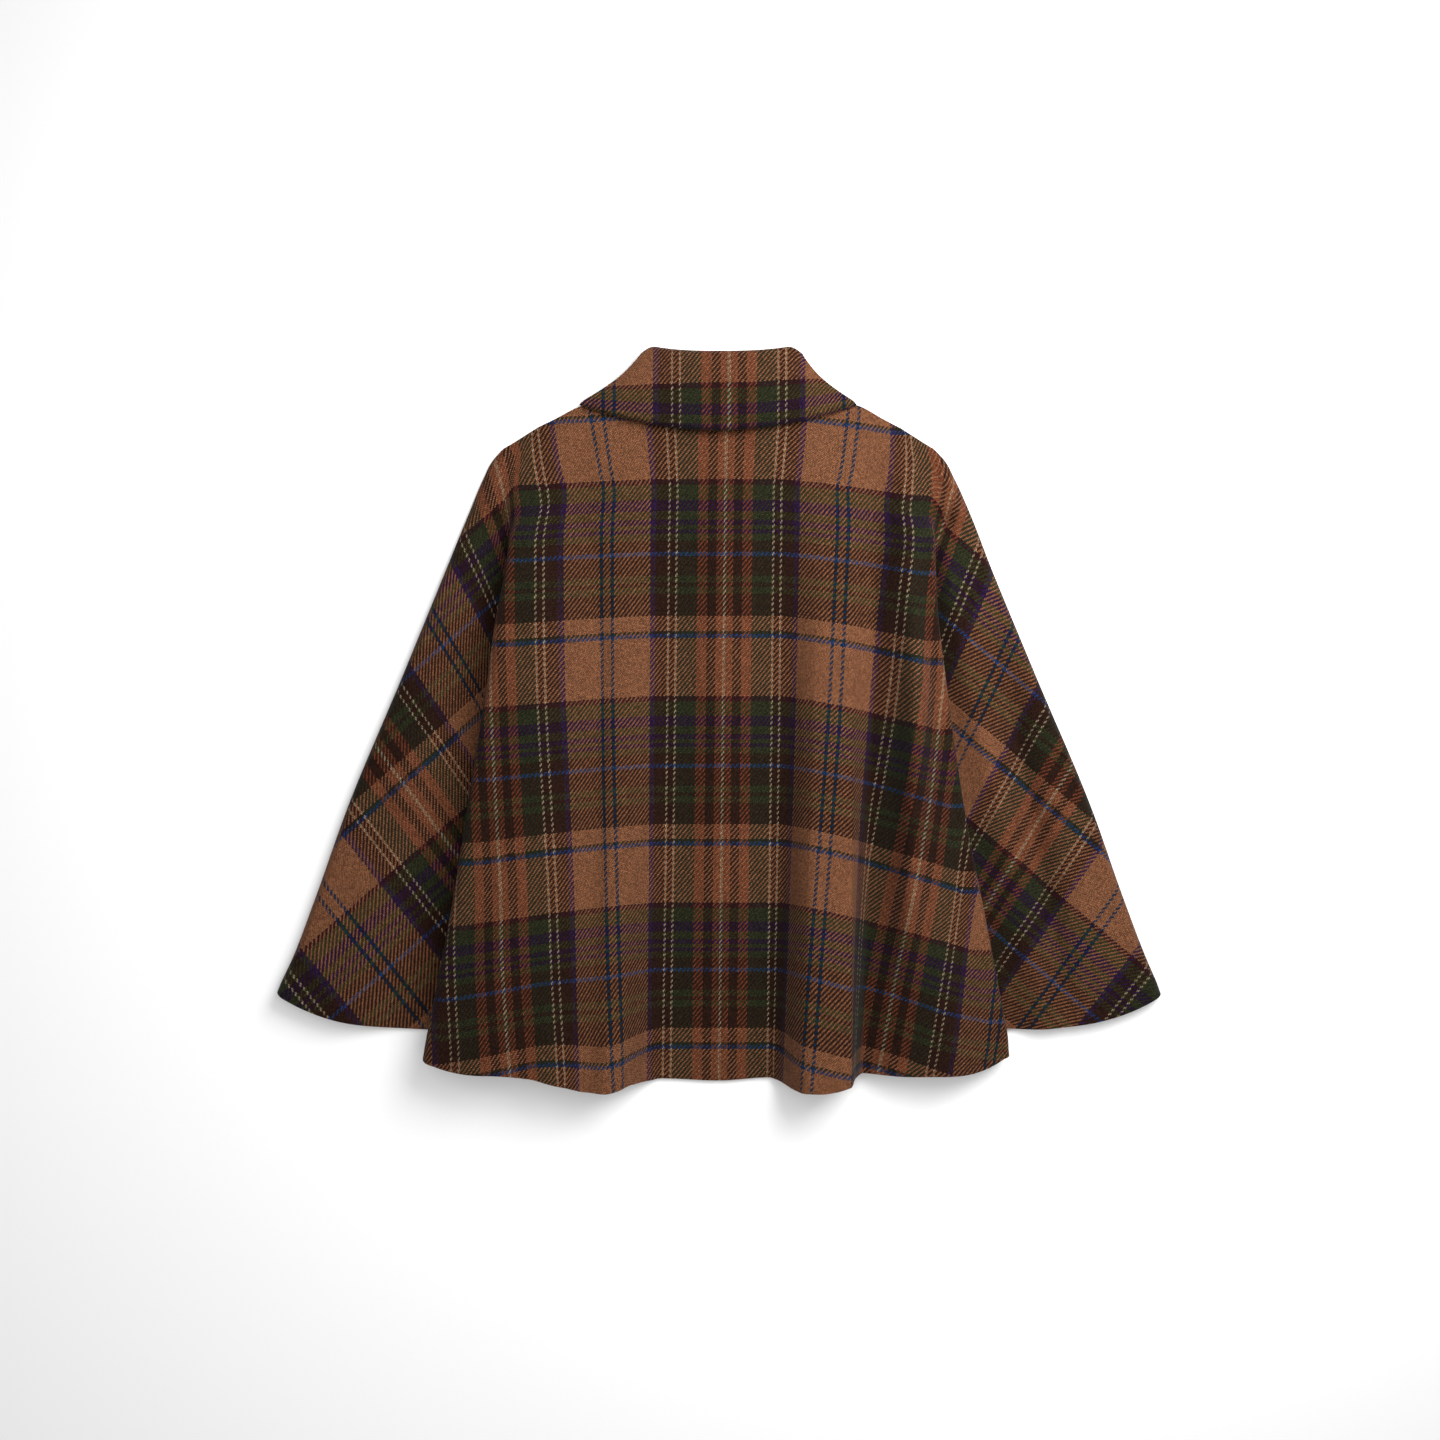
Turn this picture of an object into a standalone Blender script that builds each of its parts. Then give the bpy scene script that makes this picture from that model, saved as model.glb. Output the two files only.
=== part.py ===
"""Short flared cape in checked wool, laid flat with its back up.

The back is cut in two halves, each with its shoulder and its side wing in one piece. Below the shoulder
each half lies in a Z-fold, so that the body laps over the wing, and towards the hem it stands in soft
flutes. The two fronts and the front ends of the collar lie flat underneath, on the resting surface.

Tables are in millimetres: across is measured out from the centre back, along is measured up the back and
height up from the resting surface. The meshes are in metres, with X across, Y along and Z up.
"""

from collections import namedtuple
from math import pi

import bmesh
import bpy
import numpy as np

MM = 0.001

MIDDLE_ALONG = 4.6  # middle of the cape's length, which lies over the origin

# Cloth
CLOTH = 2.0  # wall of the heavy wool
COLLAR_CLOTH = 3.0  # the collar is two layers pressed together
GAP = 0.3  # clear space between pieces that lie on each other
LYING = CLOTH + GAP + CLOTH / 2  # middle of a wall that lies on a front

# Back, from the neck seam to the hem
NECK_ALONG = 319.0
HEM_ALONG = -359.0
SEAM_LEAN = 7.5  # the centre back seam leans this far to the right from hem to neck
APEX_ALONG = 225.0  # point below the shoulder where the Z-fold starts
FOLD_OPENS = 70.0  # the fold is fully turned this far below its apex
FOLD_TURN = 8.8  # cloth in each of the fold's two turns
FOLD_RUN_LEAST = 6.0  # cloth between the turns above the apex
FOLD_RUN_HEM = 92.0  # cloth between the turns at the hem
FOLD_RISE = 30.0  # the body climbs on to the fold over this width
HEM_CORNER = 60.0  # width over which the body's hem rounds up to the fold
HEM_CORNER_LIFT = 20.0
WING_HEM_LIFT = 24.0  # the hem rises by this much through the hidden turn of the fold
SHOULDER_FALL = 15.0  # and the shoulder falls by this much
WING_HEM_POWER = 6.5  # how squarely the wing's hem turns its outer corner
EDGE_CURL = 1.8  # the outer edge turns down to the front
EDGE_CURL_WIDTH = 7.0
EDGE_CURL_SHARE = 0.35  # the most of the wing's width that turns down, at the shoulder
PAST_COLLAR = 20.0  # the shoulder's edge starts to turn down over this width beyond the collar

# Collar
CollarHalf = namedtuple("CollarHalf", "fall roll stand")
COLLAR_HALF_WIDTHS = {"left": CollarHalf(138.0, 67.5, 62.0), "right": CollarHalf(137.0, 74.0, 70.0)}
FALL_ALONG, FALL_TIP_LIFT, FALL_POWER = 287.5, 26.0, 1.8
ROLL_ALONG, ROLL_CORNER_LIFT, ROLL_POWER = 366.0, 7.0, 2.6
STAND_ALONG, STAND_LIFT = 322.0, 5.0
ROLL_RADIUS, ROLL_RADIUS_LOSS = 4.5, 2.0
FALL_CROWN = 2.5
SIDE_HOLLOW = 7.0  # how far the collar's sides curve in between roll and tip
STAND_HEIGHT = 4.3
FALL_EDGE_HEIGHT = LYING + CLOTH / 2 + GAP + COLLAR_CLOTH / 2

# Points of an outline
Point = namedtuple("Point", "across along")

NECK_AND_SHOULDER = (
    Point(0, NECK_ALONG), Point(100, 317), Point(138, 313), Point(165, 299), Point(195, 284),
)
OUTER_EDGE = (
    Point(214, 270), Point(233, 240), Point(248, 209), Point(272, 150), Point(316, 42), Point(441.5, -271),
)
FOLD_EDGE = {
    "left": (Point(190, 287), Point(209, 225), Point(222, 125), Point(248, -50), Point(295, -334)),
    "right": (Point(192, 287), Point(217, 220), Point(223, 102), Point(242, -70), Point(290, -334)),
}
FRONT_OUTLINE = (
    Point(131, 303), Point(158, 290), Point(184, 277), Point(206, 260), Point(225, 237), Point(240, 207),
    Point(263, 150), Point(307, 42), Point(432, -266), Point(424, -282), Point(395, -296), Point(300, -308),
    Point(150, -322), Point(2, -326), Point(2, 290), Point(20, 250), Point(34, 241), Point(49, 246),
    Point(81, 268), Point(113, 293),
)
COLLAR_FRONT_OUTLINE = (
    Point(60, 363), Point(79, 352), Point(112, 323), Point(130, 310), Point(112, 296), Point(80, 270),
    Point(48, 248), Point(34, 243), Point(23, 252), Point(5, 300), Point(9, 330), Point(28, 350),
)

# Ridges and hollows of each half, from the centre back outwards, where the cloth is level across. Yoke and
# hem are their places at the two ends, height their rise at the hem, drop how far the hem hangs lower there
Flute = namedtuple("Flute", "name yoke hem height drop")

FLUTES = {
    "left": (
        Flute("centre", 0, 0, 0, 1),
        Flute("flat", 66, 66, 0, -1),
        Flute("ridge", 106, 116, 50, 5),
        Flute("shoulder", 122, 148, 33, 4),
        Flute("hollow", 140, 186, 5, -2),
        Flute("swell", 158, 228, 8, -5),
    ),
    "right": (
        Flute("centre", 0, 0, 0, 1),
        Flute("flat", 50, 50, 0, -2),
        Flute("ridge", 92, 104, 57, 3),
        Flute("crest", 118, 134, 60, -4),
        Flute("hollow", 144, 164, 5, -8),
        Flute("swell", 162, 228, 12, -7),
    ),
}
FLUTE_GROWTH = {"left": 2.0, "right": 1.3}  # power by which a flute deepens from collar to hem
FLUTE_START = 0.06  # share of the length that the collar covers

# Mesh
ROWS = 21
ROW_POWER = 1.35  # rows are closer together at the shoulder
STEPS_PER_FLUTE = 4
TURN_STEPS, RUN_STEPS = 5, 3
WING_SHARES = (0.18, 0.37, 0.56, 0.74, 0.89, 1.0)
COLLAR_COLUMNS, FALL_STEPS, ROLL_STEPS, STAND_STEPS = 18, 6, 6, 3

BROWN, DARK_BROWN, LIGHT_BROWN = (0.13, 0.065, 0.035), (0.09, 0.05, 0.03), (0.17, 0.085, 0.045)


def smoothstep(share):
    share = np.clip(share, 0, 1)
    return share * share * (3 - 2 * share)


def curve(x, xs, ys):
    """Height at x of the smooth curve through the points (xs, ys), with xs rising."""
    xs, ys = np.asarray(xs, float), np.asarray(ys, float)
    slopes = np.gradient(ys, xs)
    k = np.clip(np.searchsorted(xs, x) - 1, 0, len(xs) - 2)
    width = xs[k + 1] - xs[k]
    w = np.clip((x - xs[k]) / width, 0, 1)
    start = (1 + 2 * w) * (1 - w) ** 2 * ys[k] + w * (1 - w) ** 2 * width * slopes[k]
    end = w * w * (3 - 2 * w) * ys[k + 1] + w * w * (w - 1) * width * slopes[k + 1]
    return start + end


def edge_across(outline, along):
    """Distance from the centre back of an outline that runs from the shoulder down, at this height."""
    upwards = outline[::-1]
    return float(curve(along, [p.along for p in upwards], [p.across for p in upwards]))


def fold_section(side, t):
    """The Z-fold in one row: where its cloth starts, and its steps outwards and down from there."""
    edge = FOLD_EDGE[side]
    along = edge[0].along + (edge[-1].along - edge[0].along) * t
    below = max(0.0, APEX_ALONG - along)
    turn = pi * smoothstep(below / FOLD_OPENS)
    run = max(FOLD_RUN_LEAST, FOLD_RUN_HEM * below / (APEX_ALONG - edge[-1].along))
    turning = turn * (np.arange(TURN_STEPS) + 0.5) / TURN_STEPS
    headings = np.concatenate([turning, np.full(RUN_STEPS, turn), turning[::-1]])
    arc = np.full(TURN_STEPS, FOLD_TURN / TURN_STEPS)
    steps = np.concatenate([arc, np.full(RUN_STEPS, run / RUN_STEPS), arc])
    outwards = np.cumsum(steps * np.cos(headings))
    down = np.cumsum(steps * np.sin(headings))
    start = edge_across(edge, along) - outwards[:TURN_STEPS].max()
    return start, outwards, down


def body_columns(side, t):
    """Across, flute height, neck line and hem line of the body's points in one row."""
    first = fold_section(side, 0)[0]
    last = fold_section(side, 1)[0]
    spread = (fold_section(side, t)[0] - first) / (last - first)
    flutes = FLUTES[side] + (Flute("edge", first, last, 0, FLUTES[side][-1].drop),)
    steps = np.linspace(0, len(flutes) - 1, STEPS_PER_FLUTE * (len(flutes) - 1) + 1)
    k = np.minimum(steps.astype(int), len(flutes) - 2)
    part = steps - k
    _, yoke, hem, height, drop = (np.array(column) for column in zip(*flutes))
    at_neck = yoke[k] + (yoke[k + 1] - yoke[k]) * part
    at_hem = hem[k] + (hem[k + 1] - hem[k]) * part
    flute = height[k] + (height[k + 1] - height[k]) * smoothstep(part)
    lower = drop[k] + (drop[k + 1] - drop[k]) * smoothstep(part)
    neck_line = curve(at_neck, *zip(*NECK_AND_SHOULDER))
    corner = np.clip((at_hem - last + HEM_CORNER) / HEM_CORNER, 0, 1) ** 3
    hem_line = HEM_ALONG + HEM_CORNER_LIFT * corner - lower
    deep = max(0.0, (t - FLUTE_START) / (1 - FLUTE_START)) ** FLUTE_GROWTH[side]
    return at_neck + (at_hem - at_neck) * spread, flute * deep, neck_line, hem_line


def back_row(side, t):
    """Points of one row: from the centre back over the body, through the fold and along the wing."""
    across, flute, neck_line, hem_line = body_columns(side, t)
    start, outwards, down = fold_section(side, t)
    inner = start + min(0.0, outwards.min()) - FOLD_RISE
    body_along = neck_line + (hem_line - neck_line) * t
    body_height = LYING + down[-1] * smoothstep((across - inner) / FOLD_RISE) + flute

    fold_share = np.arange(1, len(outwards) + 1) / len(outwards)
    turn_lift = -SHOULDER_FALL + (SHOULDER_FALL + WING_HEM_LIFT) * t
    fold_along = body_along[-1] + turn_lift * fold_share
    fold_height = LYING + down[-1] - down

    outer_along = OUTER_EDGE[0].along + (OUTER_EDGE[-1].along - OUTER_EDGE[0].along) * t
    outer = edge_across(OUTER_EDGE, outer_along)
    wing_start = start + outwards[-1]
    width = outer - wing_start
    curl = min(EDGE_CURL_WIDTH, EDGE_CURL_SHARE * width)
    share = np.array(WING_SHARES) * (1 - curl / width)
    share = np.concatenate([share, [1 - curl / width / 2, 1]])
    wing_across = wing_start + width * share
    squareness = 1 + (WING_HEM_POWER - 1) * t * t
    wing_along = fold_along[-1] + (outer_along - fold_along[-1]) * share**squareness
    from_edge = np.clip(1 - (outer - wing_across) / curl, 0, 1)
    wing_height = LYING - EDGE_CURL * from_edge**2

    row = np.empty((len(across) + len(outwards) + len(share), 3))
    row[:, 0] = np.concatenate([across, start + outwards, wing_across])
    row[:, 1] = np.concatenate([body_along, fold_along, wing_along])
    row[:, 2] = np.concatenate([body_height, fold_height, wing_height])
    # The seam leans, and each half stops half a gap short of it.
    near_seam = 1 - np.clip(row[:, 0] / start, 0, 1)
    turned = 1 if side == "right" else -1
    row[:, 0] = turned * np.maximum(row[:, 0], GAP / 2) + SEAM_LEAN * (1 - t) * near_seam
    return row


def back_points(side):
    """Rows of points from the hem up to the neck and shoulder, whose edge turns down to the front."""
    rows = np.array([back_row(side, (k / ROWS) ** ROW_POWER) for k in range(ROWS, -1, -1)])
    below_shoulder = rows[-1, :, 1] - rows[:, :, 1]
    from_edge = np.clip(1 - below_shoulder / EDGE_CURL_WIDTH, 0, 1) ** 2
    past_collar = smoothstep((np.abs(rows[:, :, 0]) - COLLAR_HALF_WIDTHS[side].fall) / PAST_COLLAR)
    curled = LYING - EDGE_CURL * from_edge * past_collar
    rows[:, :, 2] = np.where(from_edge * past_collar > 0, np.minimum(rows[:, :, 2], curled), rows[:, :, 2])
    return rows


def collar_column(s):
    """Section of the collar at s, from -1 at its left side to 1 at its right: fall, roll and stand."""
    out = abs(s)
    lower_half, upper_half, neck_half = COLLAR_HALF_WIDTHS["right" if s > 0 else "left"]
    lower = np.array([s * lower_half, FALL_ALONG + FALL_TIP_LIFT * out**FALL_POWER])
    upper = np.array([s * upper_half, ROLL_ALONG + ROLL_CORNER_LIFT * out**ROLL_POWER])
    neck = np.array([s * neck_half, STAND_ALONG + STAND_LIFT * out**2])
    radius = ROLL_RADIUS - ROLL_RADIUS_LOSS * out**3
    up = (upper - lower) / np.linalg.norm(upper - lower)
    turn_from = upper - up * (radius + COLLAR_CLOTH / 2)
    top = STAND_HEIGHT + 2 * radius

    points = []
    for q in np.linspace(0, 1, FALL_STEPS + 1):
        plan = lower + (turn_from - lower) * q
        plan[0] -= SIDE_HOLLOW * np.sin(pi * q) * s * out**3
        points.append((*plan, FALL_EDGE_HEIGHT + (top - FALL_EDGE_HEIGHT) * q + FALL_CROWN * np.sin(pi * q)))
    for angle in pi * np.arange(1, ROLL_STEPS + 1) / ROLL_STEPS:
        plan = turn_from + up * radius * np.sin(angle)
        points.append((*plan, top - radius * (1 - np.cos(angle))))
    for q in np.arange(1, STAND_STEPS + 1) / STAND_STEPS:
        plan = turn_from + (neck - turn_from) * q
        points.append((*plan, STAND_HEIGHT))
    return points


def collar_points():
    return np.array([collar_column(s) for s in np.linspace(-1, 1, COLLAR_COLUMNS + 1)])


def wool(name, colour):
    material = bpy.data.materials.new(name)
    material.use_nodes = True
    shader = material.node_tree.nodes["Principled BSDF"]
    shader.inputs["Base Color"].default_value = (*colour, 1)
    shader.inputs["Roughness"].default_value = 0.92
    shader.inputs["Metallic"].default_value = 0
    return material


def cloth_wall(name, points, thickness, material, collection):
    """A wall of cloth through rows of points: an open grid with a Solidify modifier."""
    rows, columns = points.shape[:2]
    mesh = bpy.data.meshes.new(name)
    bm = bmesh.new()
    bmesh.ops.create_grid(bm, x_segments=columns - 1, y_segments=rows - 1, size=1)
    for vert, point in zip(bm.verts, points.reshape(-1, 3) * MM):
        vert.co = point
    bm.to_mesh(mesh)
    bm.free()
    mesh.shade_smooth()
    mesh.materials.append(material)
    cloth = bpy.data.objects.new(name, mesh)
    cloth.location.y = -MIDDLE_ALONG * MM
    collection.objects.link(cloth)
    solidify = cloth.modifiers.new("wall", "SOLIDIFY")
    solidify.thickness = thickness * MM
    solidify.offset = 0
    solidify.use_even_offset = True
    solidify.use_quality_normals = True
    return cloth


def flat_panel(name, outline, turned, material, collection):
    """A panel that lies flat on the resting surface, cut to an outline."""
    shape = bpy.data.curves.new(name, "CURVE")
    shape.dimensions = "2D"
    shape.fill_mode = "BOTH"
    shape.extrude = CLOTH / 2 * MM
    spline = shape.splines.new("POLY")
    spline.points.add(len(outline) - 1)
    for knot, point in zip(spline.points, outline):
        knot.co = (turned * point.across * MM, point.along * MM, 0, 1)
    spline.use_cyclic_u = True
    shape.materials.append(material)
    panel = bpy.data.objects.new(name, shape)
    panel.location.y = -MIDDLE_ALONG * MM
    panel.location.z = CLOTH / 2 * MM
    collection.objects.link(panel)
    return panel


def build_cape():
    collection = bpy.data.collections.new("wool_cape")
    bpy.context.scene.collection.children.link(collection)
    for side, turned in (("left", -1), ("right", 1)):
        cloth_wall(f"back_{side}", back_points(side), CLOTH, wool(f"back_{side}_wool", BROWN), collection)
        flat_panel(f"front_{side}", FRONT_OUTLINE, turned, wool(f"front_{side}_wool", DARK_BROWN), collection)
        collar_front = wool(f"collar_front_{side}_wool", LIGHT_BROWN)
        flat_panel(f"collar_front_{side}", COLLAR_FRONT_OUTLINE, turned, collar_front, collection)
    cloth_wall("collar", collar_points(), COLLAR_CLOTH, wool("collar_wool", LIGHT_BROWN), collection)


for old in list(bpy.data.objects):
    bpy.data.objects.remove(old, do_unlink=True)
build_cape()
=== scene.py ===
"""Looks of a short flared cape in checked wool, laid flat with its back up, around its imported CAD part.

The back is cut in two halves, each with its shoulder and its side wing in one piece. Below the shoulder
each half lies in a Z-fold, so that the body laps over the wing, and towards the hem it stands in soft
flutes. The two fronts and the front ends of the collar lie flat underneath, on the floor.

Tables are in millimetres: across is measured out from the centre back, along is measured up the back and
height up from the floor. The meshes are in metres, with X across, Y along and Z up. Every cloth carries a
UV map of its flat cloth, in metres: U runs across the warp stripes and V down the weft stripes.
"""

from collections import namedtuple
from math import pi, radians

import bmesh
import bpy
import numpy as np
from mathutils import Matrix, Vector


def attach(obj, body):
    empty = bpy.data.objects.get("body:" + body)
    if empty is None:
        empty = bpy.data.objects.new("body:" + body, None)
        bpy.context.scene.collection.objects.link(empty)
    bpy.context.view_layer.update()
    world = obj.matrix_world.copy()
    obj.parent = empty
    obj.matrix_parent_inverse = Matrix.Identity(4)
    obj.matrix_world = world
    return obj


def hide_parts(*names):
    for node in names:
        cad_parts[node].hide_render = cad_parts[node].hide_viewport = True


bl_info = {
    "name": "Checked wool cape",
    "version": (1, 0, 0),
    "blender": (4, 5, 0),
    "location": "3D Viewport > Sidebar > Cape",
    "description": "Builds a short checked wool cape, laid flat with its back up, and a studio stage for it",
    "category": "Object",
}

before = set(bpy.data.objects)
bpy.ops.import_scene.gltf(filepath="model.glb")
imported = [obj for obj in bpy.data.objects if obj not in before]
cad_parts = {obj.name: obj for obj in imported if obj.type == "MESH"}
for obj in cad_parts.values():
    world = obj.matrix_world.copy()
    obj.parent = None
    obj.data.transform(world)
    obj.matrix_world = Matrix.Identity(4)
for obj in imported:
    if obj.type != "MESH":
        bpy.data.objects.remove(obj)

MM = 0.001

MIDDLE_ALONG = 4.6  # middle of the cape's length, which lies over the origin
CAMERA_ACROSS, CAMERA_ALONG = 1.5, -0.5
CAMERA_HEIGHT = 1800.0
CAMERA_SENSOR, CAMERA_LENS = 36, 45
FLOOR_HALF_WIDTH, FLOOR_HEIGHT = 6.0, -0.0002  # metres, just under the cloth

# Cloth
CLOTH = 2.0  # wall of the heavy wool
COLLAR_CLOTH = 3.0  # the collar is two layers pressed together
COLLAR_RIM = 1.5  # its edge is rounded this many times as much as a single cloth's
GAP = 0.3  # clear space between pieces that lie on each other
LYING = CLOTH + GAP + CLOTH / 2  # middle of a wall that lies on a front

# Back, from the neck seam to the hem
NECK_ALONG = 319.0
HEM_ALONG = -359.0
SEAM_LEAN = 7.5  # the centre back seam leans this far to the right from hem to neck
SEAM_DIP, SEAM_DIP_WIDTH = 0.7, 4.0  # the cloth dips into the seam
APEX_ALONG = 225.0  # point below the shoulder where the Z-fold starts
FOLD_OPENS = 70.0  # the fold is fully turned this far below its apex
# Radius of the fold's roll, by the distance below its apex
FOLD_RADIUS = {
    "left": ((0, 2.8), (50, 6.2), (130, 10.5), (300, 10.5), (560, 10.5)),
    "right": ((0, 2.8), (50, 6.0), (130, 6.2), (300, 5.4), (560, 4.8)),
}
# Cloth between the fold's two turns: above the apex, where the fold has closed, and what it gains by the hem
FOLD_RUN_ABOVE, FOLD_RUN_CLOSED, FOLD_RUN_HEM = 6.0, 1.5, 92.0
FOLD_RUN_STARTS = 40.0  # the gain starts this far below the apex
FOLD_RISE = 60.0  # the body climbs on to the fold over this width
SHOULDER_LOFT, SHOULDER_LOFT_FROM, SHOULDER_LOFT_TO = 12.0, 292.0, 196.0  # swell above the fold
# The wing swells between its fold and its rolled edge: loft from shoulder to hem, then where it rises
WING_LOFT = {"left": ((0, 5), (0.3, 12), (1, 17)), "right": ((0, 6), (0.25, 13), (0.5, 15), (1, 13))}
WING_RISE = {"left": (22.0, 70.0), "right": (0.0, 40.0)}
WING_RISE_FULL = 140.0  # a wing that shows less than this rises over less
WING_LOFT_FULL = 70.0  # and one that shows less than this swells less
WING_BEGINS, WING_BEGINS_SHARE = 14.0, 0.5  # the swell starts over this width, or share of a narrow wing
WING_ROLL, WING_ROLL_SHARE = 9.0, 0.4  # width of the rolled edge, and the most of the wing that rolls
# The body's hem rounds up to the fold over this width
HEM_CORNER, HEM_CORNER_LIFT = 60.0, {"left": 8.0, "right": 14.0}
# The hem's outer corners are rounded off over the last rows: upwards and inwards
CORNER_UP, CORNER_IN, CORNER_ROWS = {"left": 5.0, "right": 6.0}, {"left": 1.0, "right": 2.5}, 0.05
# The rounding comes in and fades out along the fold's cloth: shares where it is whole, ends, and how fast
CORNER_WHOLE, CORNER_ENDS, CORNER_FADE = 0.2, 0.7, 0.4
WING_CORNER_ROUND, WING_CORNER_ROWS = 1.0, 0.03
WING_HEM_LIFT = {"left": 28.0, "right": 26.0}  # the hem rises through the hidden turn of the fold
SHOULDER_FALL = 15.0  # and the shoulder falls
WING_HEM_POWER = {"left": 4.4, "right": 4.7}  # how squarely the wing's hem turns its outer corner
EDGE_CURL, EDGE_CURL_WIDTH, EDGE_CURL_SHARE = 1.8, 9.0, 0.35  # the outer edge turns down to the front
PAST_COLLAR = 20.0  # the shoulder's edge starts to turn down over this width beyond the collar

# Collar
CollarHalf = namedtuple("CollarHalf", "fall roll stand")
COLLAR_HALF_WIDTHS = {"left": CollarHalf(138.0, 73.0, 62.0), "right": CollarHalf(137.0, 79.5, 70.0)}
FALL_ALONG, FALL_TIP_LIFT, FALL_POWER = 287.5, 26.0, 1.8
ROLL_ALONG, ROLL_CORNER_LIFT, ROLL_POWER = 366.0, 7.0, 2.6
STAND_ALONG, STAND_LIFT = 322.0, 5.0
ROLL_RADIUS, ROLL_RADIUS_LOSS = 8.5, 5.5
ROLL_CORNER_ROUND, ROLL_CORNER_FROM = 8.0, 0.84
TIP_ROUND, TIP_FROM = 1.0, 0.94
FALL_CROWN, FALL_CROWN_MIDDLE = 1.0, 1.0
LIP_DROP, LIP_SHARE = 4.5, 0.05  # the edge of the fall curls down over this share of it
SIDE_HOLLOW = 7.0  # how far the collar's sides curve in between roll and tip
STAND_HEIGHT = 4.3
FALL_LIFT = 13.0  # the roll holds the fall's edge this far off the back
FALL_EDGE_HEIGHT = LYING + CLOTH / 2 + GAP + COLLAR_CLOTH / 2 + FALL_LIFT
TIP_SINK = 8.0  # the fall lies lower at its tips

# Points of an outline
Point = namedtuple("Point", "across along")

NECK_AND_SHOULDER = (
    Point(0, NECK_ALONG), Point(100, 317), Point(138, 313), Point(165, 299), Point(195, 284),
)
OUTER_EDGE = {
    "left": (
        Point(214, 270), Point(224, 259), Point(234, 240), Point(247, 209), Point(271, 150),
        Point(315, 42), Point(370, -90), Point(402, -180), Point(425, -240), Point(440, -271),
    ),
    "right": (
        Point(214, 270), Point(224.5, 259), Point(235, 240), Point(249, 209), Point(272, 150),
        Point(316.5, 42), Point(372, -90), Point(404, -180), Point(427, -240), Point(441.5, -273),
    ),
}
FOLD_EDGE = {
    "left": (
        Point(188, 287), Point(202, 225), Point(205, 180), Point(210, 140), Point(217.5, 97),
        Point(226, 33), Point(239.5, -50), Point(260, -180), Point(290, -334),
    ),
    "right": (
        Point(190, 287), Point(211, 220), Point(213, 165), Point(216.5, 97), Point(224.5, 33),
        Point(233, -30), Point(246.5, -114), Point(260.5, -184), Point(289.5, -334),
    ),
}
FRONT_OUTLINE = (
    Point(131, 303), Point(158, 290), Point(184, 277), Point(206, 260), Point(224, 237), Point(238, 207),
    Point(261, 150), Point(305, 42), Point(423, -262), Point(414, -277), Point(386, -290), Point(300, -303),
    Point(150, -322), Point(2, -326), Point(2, 290), Point(20, 250), Point(34, 241), Point(49, 246),
    Point(81, 268), Point(113, 293),
)
COLLAR_FRONT_OUTLINE = (
    Point(60, 363), Point(79, 352), Point(112, 323), Point(130, 310), Point(112, 296), Point(80, 270),
    Point(48, 248), Point(34, 243), Point(23, 252), Point(5, 300), Point(9, 330), Point(28, 350),
)

# Ridges and hollows of each half, from the centre back outwards. Yoke and hem are their places at the two
# ends, height their rise at the hem, drop how far the hem hangs lower there, growth how late they rise
Flute = namedtuple("Flute", "name yoke hem height drop growth")

FLUTES = {
    "left": (
        Flute("centre", 0, 0, 0, 1, 1.35),
        Flute("flat", 48, 58, 0, -1, 1.35),
        Flute("foot", 60, 69, 6, 0, 1.35),
        Flute("flank", 76, 87, 30, 0, 1.35),
        Flute("brow", 88, 99, 46, 3, 1.35),
        Flute("ridge", 100, 110, 50, 5, 1.35),
        Flute("back", 112, 130, 37, 4, 1.35),
        Flute("slope", 124, 152, 18, -1, 1.35),
        Flute("hollow", 140, 184, 4, -9, 1.35),
        Flute("swell", 158, 228, 8, -13, 1.35),
    ),
    "right": (
        Flute("centre", 0, 0, 0, 1, 0.9),
        Flute("flat", 58, 50, 0, -2, 0.9),
        Flute("foot", 76, 59, 8, -1, 0.9),
        Flute("flank", 93, 75, 44, 2, 0.9),
        Flute("brow", 102, 84, 57, 3, 0.9),
        Flute("ridge", 110, 98, 60, 3, 0.9),
        Flute("plateau", 118, 113, 61, 1, 0.9),
        Flute("crest", 127, 127, 59, -3, 0.9),
        Flute("fall", 146, 134, 28, -7, 0.9),
        Flute("hollow", 160, 144, 4, -8, 0.8),
        Flute("rise", 167, 180, 9, -8, 0.6),
        Flute("swell", 173, 222, 20, -10, 0.6),
    ),
}
FLUTE_START = 0.06  # share of the length above the flutes

# Soft ridges and troughs, from end to end
Crease = namedtuple("Crease", "start end width height")
CREASE_FADE = 0.3  # share of its length over which each end dies away
CREASES = {
    "left": (
        Crease(Point(0, 330), Point(0, -400), 28, 8),
        Crease(Point(258, 88), Point(330, -150), 16, 3),
        Crease(Point(300, -40), Point(388, -262), 22, -4),
    ),
    "right": (
        Crease(Point(0, 330), Point(0, -400), 28, 8),
        Crease(Point(196, 150), Point(182, -300), 13, 17),
        Crease(Point(276, 100), Point(350, -330), 15, -15),
        Crease(Point(318, -30), Point(392, -280), 16, 3),
    ),
}

# The check, charted in yarns: half a repeat of the warp, which mirrors, and one repeat of the weft
Stripe = namedtuple("Stripe", "start yarn")

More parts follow.
